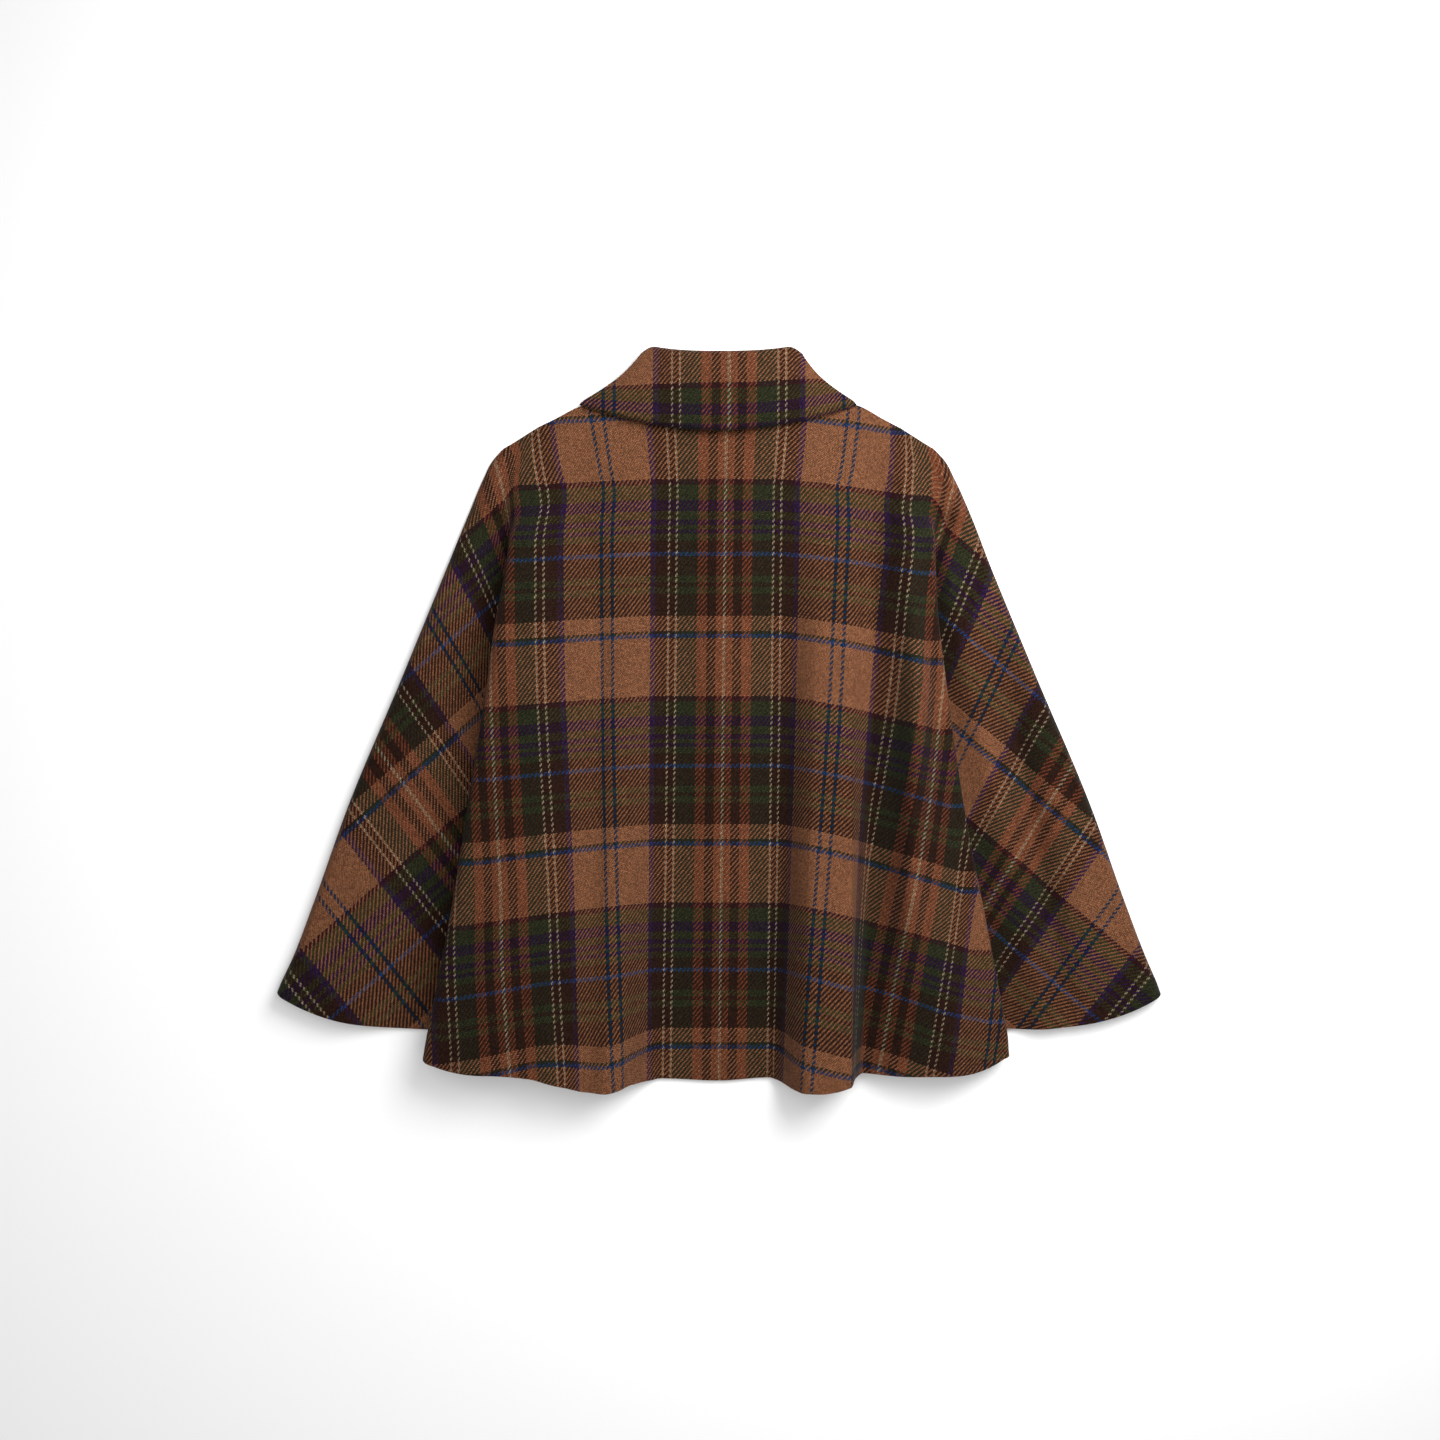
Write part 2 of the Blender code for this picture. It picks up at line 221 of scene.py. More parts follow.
WARP_HALF_REPEAT = 107
WARP_CHART = (
    Stripe(0, "cream"), Stripe(2, "rust"), Stripe(8, "dark"), Stripe(16, "rust"), Stripe(25, "green"),
    Stripe(43, "cream"), Stripe(45, "dark"), Stripe(50, "cream"), Stripe(52, "dark"), Stripe(63, "purple"),
    Stripe(68, "tan"), Stripe(101, "navy"), Stripe(104, "tan"),
)
WEFT_REPEAT = 157
WEFT_CHART = (
    Stripe(0, "maroon"), Stripe(4, "olive"), Stripe(15, "plum"), Stripe(23, "olive"), Stripe(29, "plum"),
    Stripe(33, "olive"), Stripe(36, "plum"), Stripe(39, "olive"), Stripe(44, "dark"), Stripe(51, "blue"),
    Stripe(54, "dark"), Stripe(69, "olive"), Stripe(74, "dark"), Stripe(77, "olive"), Stripe(82, "dark"),
    Stripe(98, "tan"), Stripe(108, "green"), Stripe(111, "blue"), Stripe(114, "tan"),
)

# How the flat cloth lies: weft places down the centre back, and the turn of the wing's grain
WEFT_AT_ALONG = (
    (-374.5, 641), (-326.5, 590), (-249.5, 508.5), (-184.5, 436.5), (-80, 327.5), (21.5, 219.5),
    (238.5, 1.7), (374.5, -134),
)
# The warp fans out from the apex: it starts to turn there by one angle and ends near another. Far out, the
# warp lies a little wider and the weft a little closer
Wing = namedtuple("Wing", "across along warp weft turn turn_end fan gather weft_turn weft_stretch wide close")
Far = namedtuple("Far", "start rate")
WINGS = {
    "left": Wing(209.5, 225.5, 233, -1, 24.0, 40.0, 120, 1, 41.0, 1.05, Far(400, 20), Far(408, 0.071)),
    "right": Wing(218.5, 215.5, 219, -12, 20.5, 48.0, 370, 20, 40.2, 1.047, Far(540, 27), Far(373, 0.082)),
}
# The body's grain turns into the wing's over a width past the body's edge, from a height above the apex down
Blend = namedtuple("Blend", "width above over")
BLENDS = {"left": Blend(17, 60, 25), "right": Blend(30, 62, 60)}
BLEND_FOLD_SHARE = 0.75  # it takes at least this share of the fold's cloth
WIDE_OVER = 260
FAN_FROM, FAN_RATE, GATHER_WIDTH = 292, 0.95, 15
FAN_SPENT = (-8, 1)  # bounds of the fan's exponent
FAN_GUESS, FAN_ROUNDS = 400.0, 10  # the turn depends on the warp place, which is found in rounds
# Warp places on the body's folded edge, by how far along the back they lie
EDGE_WARP = {
    "left": (
        (-334, 329), (-230, 304), (-165, 293), (-80, 274), (13, 253.5), (97, 238), (161, 222.5),
        (225, 210.5), (290, 198),
    ),
    "right": (
        (-332, 384), (-230, 346), (-112, 295), (-16, 260), (97, 232), (161, 219.5), (215, 208), (290, 194),
    ),
}
# Above the fold the warp is drawn in towards the neck
YOKE_ALONG, YOKE_DRAW, YOKE_WIDTH, YOKE_POWER = APEX_ALONG + 8, 0.21, 140, 1.2
SEAM_WARP = 0.3  # cloth taken up in the seam on each side
# How far the weft drops towards the fold, from neck to hem, and how much lower it hangs on a ridge at the hem
WEFT_DROP = {
    "left": ((0, 5), (0.25, 7), (0.5, 13), (0.75, 24), (1, 40)),
    "right": ((0, 15), (0.25, 19), (0.5, 36), (0.7, 49), (1, 57)),
}
DROP_FROM, DROP_WHOLE, DROP_POWER = 60, 15, 1.25  # it starts this far out, and is whole short of the edge
WEFT_BOW, WEFT_BOW_FROM = 0.34, 0.78
COLLAR_BOW, COLLAR_BOW_AT = {"left": 6.0, "right": 11.0}, 100  # the collar's weft bows up towards its tips
COLLAR_WARP, COLLAR_WEFT = 10, 335.5  # where its check lies against the back's

# Weave: yarns wander, fibres and mottling vary their own tone, and painted shade darkens the gaps between the
# yarns' humps, each as a factor and an addend
TWILL_REPEAT, WARP_UP = 4.0, 1.5  # two yarns up and two down
WANDER_SCALE, WANDER = 320, 0.0011
FIBRE_SCALE, FIBRE_STRETCH, MOTTLE_SCALE = 1500, 0.45, 45
# The first pair turns the humps' height into painted shade in the colour, darker where the yarns round off
# and meet
PAINTED_GAP_SHADE, FIBRE_SHADE = (1.2, 0.44), (2.6, -0.3)
MOTTLE_SHADE, YARN_SHADE = (0.1, 0.95), (0.8, 0.6)
FIBRE_HEIGHT = 0.5
BUMP_STRENGTH, BUMP_DEPTH = 0.6, 0.0004

# Mesh
ROWS = 150
ROW_POWER = 1.2
COLUMN_STEP = 3.4
TURN_STEPS, RUN_STEPS = 8, 16
WING_STEPS, CURL_STEPS = 44, 9
COLLAR_COLUMNS, FALL_STEPS, ROLL_STEPS, STAND_STEPS = 120, 36, 12, 10
FALL_SPACING = 1.4  # steps of the fall are closer at its edge


def smoothstep(share):
    """Rises from 0 to 1 with level ends as the share does."""
    share = np.clip(share, 0, 1)
    return share * share * (3 - 2 * share)


def sloped_curve(x, xs, ys, slopes):
    """Height at x of the cubic curve through the points (xs, ys) with these slopes, with xs rising."""
    k = np.clip(np.searchsorted(xs, x) - 1, 0, len(xs) - 2)
    width = xs[k + 1] - xs[k]
    w = np.clip((x - xs[k]) / width, 0, 1)
    start = (1 + 2 * w) * (1 - w) ** 2 * ys[k] + w * (1 - w) ** 2 * width * slopes[k]
    end = w * w * (3 - 2 * w) * ys[k + 1] + w * w * (w - 1) * width * slopes[k + 1]
    return start + end


def curve(x, xs, ys):
    """Height at x of the smooth curve through the points (xs, ys), with xs rising."""
    xs, ys = np.asarray(xs, float), np.asarray(ys, float)
    return sloped_curve(x, xs, ys, np.gradient(ys, xs))


def level_curve(x, xs, ys):
    """The same, but never above or below its points, so that ridges and hollows stay where they are."""
    xs, ys = np.asarray(xs, float), np.asarray(ys, float)
    grades = np.diff(ys) / np.diff(xs)
    slopes = np.zeros_like(ys)
    same = grades[:-1] * grades[1:] > 0
    before, after = grades[:-1][same], grades[1:][same]
    slopes[1:-1][same] = 2 * before * after / (before + after)
    return sloped_curve(x, xs, ys, slopes)


def edge_across(outline, along):
    """Distance from the centre back of an outline that runs from the shoulder down, at this height."""
    upwards = outline[::-1]
    return curve(along, [p.along for p in upwards], [p.across for p in upwards])


def corner_rows(t):
    """How far a row has come into the rounding of the hem's corner."""
    return smoothstep((t - 1 + CORNER_ROWS) / CORNER_ROWS) ** 2


def fold_section(side, t):
    """The Z-fold in one row: where its cloth starts, its places out and down from there, and its lift."""
    edge = FOLD_EDGE[side]
    along = edge[0].along + (edge[-1].along - edge[0].along) * t
    below = max(0.0, APEX_ALONG - along)
    turn = pi * smoothstep(below / FOLD_OPENS)
    run = FOLD_RUN_ABOVE - (FOLD_RUN_ABOVE - FOLD_RUN_CLOSED) * smoothstep(below / FOLD_RUN_STARTS)
    lower = max(0.0, below - FOLD_RUN_STARTS)
    run += FOLD_RUN_HEM * lower / (APEX_ALONG - FOLD_RUN_STARTS - edge[-1].along)
    radius = curve(below, *zip(*FOLD_RADIUS[side]))
    turning = turn * (np.arange(TURN_STEPS) + 0.5) / TURN_STEPS
    headings = np.concatenate([turning, np.full(RUN_STEPS, turn), turning[::-1]])
    arc = np.full(TURN_STEPS, pi * radius / TURN_STEPS)
    steps = np.concatenate([arc, np.full(RUN_STEPS, run / RUN_STEPS), arc])
    outwards = np.cumsum(steps * np.cos(headings))
    down = np.cumsum(steps * np.sin(headings))
    start = float(edge_across(edge, along)) - outwards[:TURN_STEPS].max() - CORNER_IN[side] * corner_rows(t)
    down_shoulder = (SHOULDER_LOFT_FROM - along) / (SHOULDER_LOFT_FROM - SHOULDER_LOFT_TO)
    loft = SHOULDER_LOFT * smoothstep(down_shoulder)
    return start, outwards, down, max(down[-1], loft)


def body_places(side):
    """Places of the body's columns between the centre back and the fold, at the yoke and at the hem."""
    first = fold_section(side, 0)[0]
    last = fold_section(side, 1)[0]
    flutes = FLUTES[side] + (Flute("edge", first, last, 0, FLUTES[side][-1].drop, 1.0),)
    yoke, hem = [0.0], [0.0]
    for inner, outer in zip(flutes, flutes[1:]):
        length = np.hypot(outer.hem - inner.hem, outer.height - inner.height)
        steps = max(3, round(length / COLUMN_STEP))
        yoke.extend(np.linspace(inner.yoke, outer.yoke, steps + 1)[1:])
        hem.extend(np.linspace(inner.hem, outer.hem, steps + 1)[1:])
    return flutes, np.array(yoke), np.array(hem)


def body_columns(side, t):
    """Across, flute height, neck line and hem line of the body's points in one row."""
    flutes, at_neck, at_hem = body_places(side)
    first, last = flutes[-1].yoke, flutes[-1].hem
    spread = (fold_section(side, t)[0] - first) / (last - first)
    places = [flute.hem for flute in flutes]
    grown = max(0.0, (t - FLUTE_START) / (1 - FLUTE_START))
    height = level_curve(at_hem, places, [flute.height * grown**flute.growth for flute in flutes])
    lower = level_curve(at_hem, places, [flute.drop for flute in flutes])
    neck_line = curve(at_neck, *zip(*NECK_AND_SHOULDER))
    corner = np.clip((at_hem - last + HEM_CORNER) / HEM_CORNER, 0, 1) ** 3
    hem_line = HEM_ALONG + HEM_CORNER_LIFT[side] * corner - lower
    return at_neck + (at_hem - at_neck) * spread, height, neck_line, hem_line


def creased(side, across, along):
    """Height of the creases at these places."""
    height = np.zeros_like(across)
    for crease in CREASES[side]:
        start, run = np.array(crease.start), np.subtract(crease.end, crease.start)
        length = np.hypot(*run)
        share = ((across - start[0]) * run[0] + (along - start[1]) * run[1]) / length**2
        off = ((across - start[0]) * run[1] - (along - start[1]) * run[0]) / length
        ends = smoothstep(share / CREASE_FADE) * smoothstep((1 - share) / CREASE_FADE)
        height += crease.height * ends * np.exp(-((off / crease.width) ** 2))
    return height


def wing_row(side, t, wing_start, along_start, lifted, fold_edge):
    """Across, along and height of the wing's points in one row, out from the hidden turn of the fold."""
    edge = OUTER_EDGE[side]
    outer_along = edge[0].along + (edge[-1].along - edge[0].along) * t
    last_rows = smoothstep((t - 1 + WING_CORNER_ROWS) / WING_CORNER_ROWS) ** 2
    outer = float(edge_across(edge, outer_along)) - WING_CORNER_ROUND * last_rows
    width = outer - wing_start
    curl = min(EDGE_CURL_WIDTH, EDGE_CURL_SHARE * width)
    share = np.arange(1, WING_STEPS + 1) / WING_STEPS * (1 - curl / width)
    share = np.concatenate([share, 1 - curl / width * (1 - np.arange(1, CURL_STEPS + 1) / CURL_STEPS)])
    across = wing_start + width * share
    squareness = 1 + (WING_HEM_POWER[side] - 1) * t * t
    along = along_start + (outer_along - along_start) * share**squareness
    from_edge = np.clip(1 - (outer - across) / curl, 0, 1)
    visible = outer - fold_edge
    rise_from, rise_width = WING_RISE[side]
    narrow = min(1.0, visible / WING_RISE_FULL)
    rise = smoothstep((across - fold_edge - rise_from * narrow) / (rise_width * narrow))
    roll_width = min(WING_ROLL, WING_ROLL_SHARE * visible)
    roll = np.sqrt(1 - (1 - np.clip((outer - across) / roll_width, 0, 1)) ** 2)
    loft = curve(t, *zip(*WING_LOFT[side])) * smoothstep(visible / WING_LOFT_FULL)
    begins = smoothstep((across - wing_start) / min(WING_BEGINS, WING_BEGINS_SHARE * width))
    loft = np.maximum(0, loft + creased(side, across, along)) * rise * roll * begins
    return across, along, LYING + loft + lifted * (1 - smoothstep(share)) - EDGE_CURL * from_edge**2


def back_row(side, t):
    """Points of one row: from the centre back over the body, through the fold and along the wing."""
    across, flute, neck_line, hem_line = body_columns(side, t)
    start, outwards, down, lift = fold_section(side, t)
    inner = start + min(0.0, outwards.min()) - FOLD_RISE
    body_along = neck_line + (hem_line - neck_line) * t
    body_height = LYING + lift * smoothstep((across - inner) / FOLD_RISE) + flute
    body_height += np.maximum(0, creased(side, across, body_along))
    body_height -= SEAM_DIP * np.clip(1 - across / SEAM_DIP_WIDTH, 0, 1) ** 2

    fold_share = np.cumsum(np.hypot(np.diff(outwards, prepend=0), np.diff(down, prepend=0)))
    fold_share /= fold_share[-1]
    turn_lift = -SHOULDER_FALL + (SHOULDER_FALL + WING_HEM_LIFT[side]) * t
    rounded = CORNER_UP[side] * corner_rows(t) * smoothstep(fold_share / CORNER_WHOLE)
    rounded = rounded * smoothstep((CORNER_ENDS - fold_share) / CORNER_FADE)
    fold_along = body_along[-1] + turn_lift * fold_share + rounded
    fold_height = LYING + lift - down
    fold_edge = start + outwards[:TURN_STEPS].max()
    wing = wing_row(side, t, start + outwards[-1], fold_along[-1], lift - down[-1], fold_edge)
    wing_across, wing_along, wing_height = wing

    row = np.empty((len(across) + len(outwards) + len(wing_across), 3))
    row[:, 0] = np.concatenate([across, start + outwards, wing_across])
    row[:, 1] = np.concatenate([body_along, fold_along, wing_along])
    row[:, 2] = np.concatenate([body_height, fold_height, wing_height])
    # The seam leans, and each half stops half a gap short of it.
    near_seam = 1 - np.clip(row[:, 0] / start, 0, 1)
    turned = 1 if side == "right" else -1
    row[:, 0] = turned * np.maximum(row[:, 0], GAP / 2) + SEAM_LEAN * (1 - t) * near_seam
    return row


def row_share(k):
    """Share of the length, from neck to hem, of a row."""
    return (k / ROWS) ** ROW_POWER


def back_points(side):
    """Rows of points from the hem up to the neck and shoulder, whose edge turns down to the front."""
    rows = np.array([back_row(side, row_share(k)) for k in range(ROWS, -1, -1)])
    below_shoulder = rows[-1, :, 1] - rows[:, :, 1]
    from_edge = np.clip(1 - below_shoulder / EDGE_CURL_WIDTH, 0, 1) ** 2
    past_collar = smoothstep((np.abs(rows[:, :, 0]) - COLLAR_HALF_WIDTHS[side].fall) / PAST_COLLAR)
    curled = LYING - EDGE_CURL * from_edge * past_collar
    rows[:, :, 2] = np.where(from_edge * past_collar > 0, np.minimum(rows[:, :, 2], curled), rows[:, :, 2])
    return rows


def back_cloth(side, points):
    """Flat cloth places of a back half: its body hangs straight from the yoke, its wing lies turned."""
    turned = 1 if side == "right" else -1
    # Where each point shows from straight above, at the floor
    seen = points[:, :, :2] * (CAMERA_HEIGHT / (CAMERA_HEIGHT - points[:, :, 2:]))
    across, along = turned * seen[:, :, 0], seen[:, :, 1]
    body_columns_count = len(body_places(side)[1])
    fold_columns_count = 2 * TURN_STEPS + RUN_STEPS

    # Cloth along each row, over the flutes
    flutes = np.zeros(points.shape[:2])
    flutes[:, :body_columns_count] = [body_columns(side, row_share(k))[1] for k in range(ROWS, -1, -1)]
    steps = np.hypot(np.diff(points[:, :, 0], axis=1), np.diff(flutes, axis=1))
    whole_steps = np.linalg.norm(np.diff(points, axis=1), axis=2)
    steps[:, body_columns_count - 1 :] = whole_steps[:, body_columns_count - 1 :]
    arc = SEAM_WARP + np.concatenate([np.zeros((len(points), 1)), np.cumsum(steps, axis=1)], axis=1)
    edge = body_columns_count - 1 + TURN_STEPS // 2
    edge_arc = arc[:, edge : edge + 1]
    wanted = curve(along[:, edge : edge + 1], *zip(*EDGE_WARP[side]))
    warp = arc + (wanted - edge_arc) * np.clip(arc / edge_arc, 0, 1) ** 2
    above = np.minimum(0.0, YOKE_ALONG - along)
    warp = warp + YOKE_DRAW * above * np.clip(across / YOKE_WIDTH, 0, 1) ** YOKE_POWER
    edge_seen = across[:, edge : edge + 1]
    share = np.clip((NECK_ALONG - along) / (NECK_ALONG - HEM_ALONG), 0, 1)
    weft = curve(along, *zip(*WEFT_AT_ALONG))
    towards_fold = np.clip((across - DROP_FROM) / (edge_seen - DROP_WHOLE - DROP_FROM), 0, 1)
    weft = weft - curve(share, *zip(*WEFT_DROP[side])) * towards_fold**DROP_POWER
    weft = weft - WEFT_BOW * flutes * smoothstep((share - WEFT_BOW_FROM) / (1 - WEFT_BOW_FROM))

    # The rolled outer edge takes up more cloth than shows from above
    rolled = (across[:, -1:] - across)[:, 1:] < WING_ROLL
    taken_up = rolled * (whole_steps - np.hypot(np.diff(across, axis=1), np.diff(along, axis=1)))
    taken_up = np.concatenate([np.zeros((len(points), 1)), np.cumsum(taken_up, axis=1)], axis=1)

    wing = WINGS[side]
    out, down = across + taken_up - wing.across, wing.along - along
    wing_warp = np.full(out.shape, FAN_GUESS)
    for _ in range(FAN_ROUNDS):
        spent = np.exp(np.clip((FAN_FROM - wing_warp) / wing.fan, *FAN_SPENT))
        turn = np.radians(wing.turn_end - (wing.turn_end - wing.turn) * spent)
        reach = out * np.cos(turn) + down * np.sin(turn)
        gathered = wing.gather * (1 - np.exp(-np.maximum(reach, 0) / GATHER_WIDTH))
        wing_warp = wing.warp + FAN_RATE * reach + gathered
    wing_warp -= wing.wide.rate * (np.maximum(0, wing_warp - wing.wide.start) / WIDE_OVER) ** 2
    cos, sin = np.cos(radians(wing.weft_turn)), np.sin(radians(wing.weft_turn))
    wing_weft = wing.weft + wing.weft_stretch * (down * cos - out * sin)
    wing_weft += wing.close.rate * np.maximum(0, wing_weft - wing.close.start)

    lengths = np.concatenate([np.zeros((len(points), 1)), np.cumsum(whole_steps, axis=1)], axis=1)
    past_edge = lengths - lengths[:, edge : edge + 1]
    last_fold = body_columns_count + fold_columns_count - 1
    blend = BLENDS[side]
    fold_cloth = past_edge[:, last_fold : last_fold + 1]
    through = smoothstep(past_edge / np.maximum(blend.width, BLEND_FOLD_SHARE * fold_cloth))
    through = through * smoothstep((wing.along + blend.above - along) / blend.over)
    warp = warp + (wing_warp - warp) * through
    weft = weft + (wing_weft - weft) * through
    return np.stack([turned * warp, weft], axis=2)


def collar_column(s):
    """Section of the collar at s, from -1 at its left side to 1 at its right: fall, roll and stand."""
    out = abs(s)
    lower_half, upper_half, neck_half = COLLAR_HALF_WIDTHS["right" if s > 0 else "left"]
    tip = TIP_ROUND * max(0.0, (out - TIP_FROM) / (1 - TIP_FROM)) ** 2
    lower = np.array([s * lower_half, FALL_ALONG + FALL_TIP_LIFT * out**FALL_POWER + tip])
    rounded = ROLL_CORNER_ROUND * max(0.0, (out - ROLL_CORNER_FROM) / (1 - ROLL_CORNER_FROM)) ** 2
    upper = np.array([s * upper_half, ROLL_ALONG + ROLL_CORNER_LIFT * out**ROLL_POWER - rounded])
    neck = np.array([s * neck_half, STAND_ALONG + STAND_LIFT * out**2])
    radius = ROLL_RADIUS - ROLL_RADIUS_LOSS * out**2
    up = (upper - lower) / np.linalg.norm(upper - lower)
    turn_from = upper - up * (radius + COLLAR_CLOTH / 2)
    top = STAND_HEIGHT + 2 * radius
    edge = FALL_EDGE_HEIGHT - TIP_SINK * out**2

    points = []
    crown = FALL_CROWN + FALL_CROWN_MIDDLE * (1 - out * out)
    for q in np.linspace(0, 1, FALL_STEPS + 1) ** FALL_SPACING:
        plan = lower + (turn_from - lower) * q
        plan[0] -= SIDE_HOLLOW * np.sin(pi * q) * s * out**3
        height = edge + (top - edge) * q + crown * np.sin(pi * q)
        points.append((*plan, height - LIP_DROP * max(0.0, 1 - q / LIP_SHARE) ** 2))
    for angle in pi * np.arange(1, ROLL_STEPS + 1) / ROLL_STEPS:
        plan = turn_from + up * radius * np.sin(angle)
        points.append((*plan, top - radius * (1 - np.cos(angle))))
    for q in np.arange(1, STAND_STEPS + 1) / STAND_STEPS:
        plan = turn_from + (neck - turn_from) * q
        points.append((*plan, STAND_HEIGHT))
    return points


def collar_points():
    """Columns of points of the collar, from its left side to its right."""
    return np.array([collar_column(s) for s in np.linspace(-1, 1, COLLAR_COLUMNS + 1)])


def collar_cloth(points):
    """Flat cloth places of the collar: its weft bows up to the tips."""
    across, along = points[:, :, 0], points[:, :, 1]
    bow = np.where(across < 0, COLLAR_BOW["left"], COLLAR_BOW["right"]) * (across / COLLAR_BOW_AT) ** 2
    steps = np.linalg.norm(np.diff(points, axis=1), axis=2)
    length = np.concatenate([np.zeros((len(points), 1)), np.cumsum(steps, axis=1)], axis=1)
    lower = COLLAR_WEFT - along[:, :1] + bow[:, :1]
    return np.stack([across - COLLAR_WARP, lower - length], axis=2)


def link(tree, value, socket):
    """Joins a node's output to a socket, or sets the socket to a constant."""
    if isinstance(value, bpy.types.NodeSocket):
        tree.links.new(value, socket)
    else:
        socket.default_value = value


def maths(tree, operation, *values, kind="ShaderNodeMath"):
    """Output of a maths node with these values."""
    node = tree.nodes.new(kind)
    node.operation = operation
    for value, socket in zip(values, node.inputs):
        link(tree, value, socket)
    return node.outputs[0]


def vector_maths(tree, operation, *values):
    """The same for vectors."""
    return maths(tree, operation, *values, kind="ShaderNodeVectorMath")


def mixed(tree, kind, share, first, second, blend="MIX"):
    """Output of a mix of two values by a share."""
    node = tree.nodes.new("ShaderNodeMix")
    node.data_type = kind
    if kind == "RGBA":
        node.blend_type = blend
    sockets = [socket for socket in node.inputs if socket.enabled]
    for value, socket in zip((share, first, second), sockets):
        link(tree, value, socket)
    return next(socket for socket in node.outputs if socket.enabled)


def noise(tree, place, scale, detail):
    """A noise texture at a place."""
    node = tree.nodes.new("ShaderNodeTexNoise")
    link(tree, place, node.inputs["Vector"])
    node.inputs["Scale"].default_value = scale
    node.inputs["Detail"].default_value = detail
    return node


def striped(tree, place, repeat, chart, colours):
    """Colours of a chart of stripes, at a place between 0 and its repeat."""
    ramp = tree.nodes.new("ShaderNodeValToRGB")
    ramp.color_ramp.interpolation = "CONSTANT"
    stops = ramp.color_ramp.elements
    while len(stops) < len(chart):
        stops.new(1.0)
    for stop, stripe in zip(stops, chart):
        stop.position = stripe.start / repeat
        stop.color = (*getattr(colours, stripe.yarn), 1)
    link(tree, maths(tree, "DIVIDE", place, repeat), ramp.inputs["Fac"])
    return ramp.outputs["Color"]


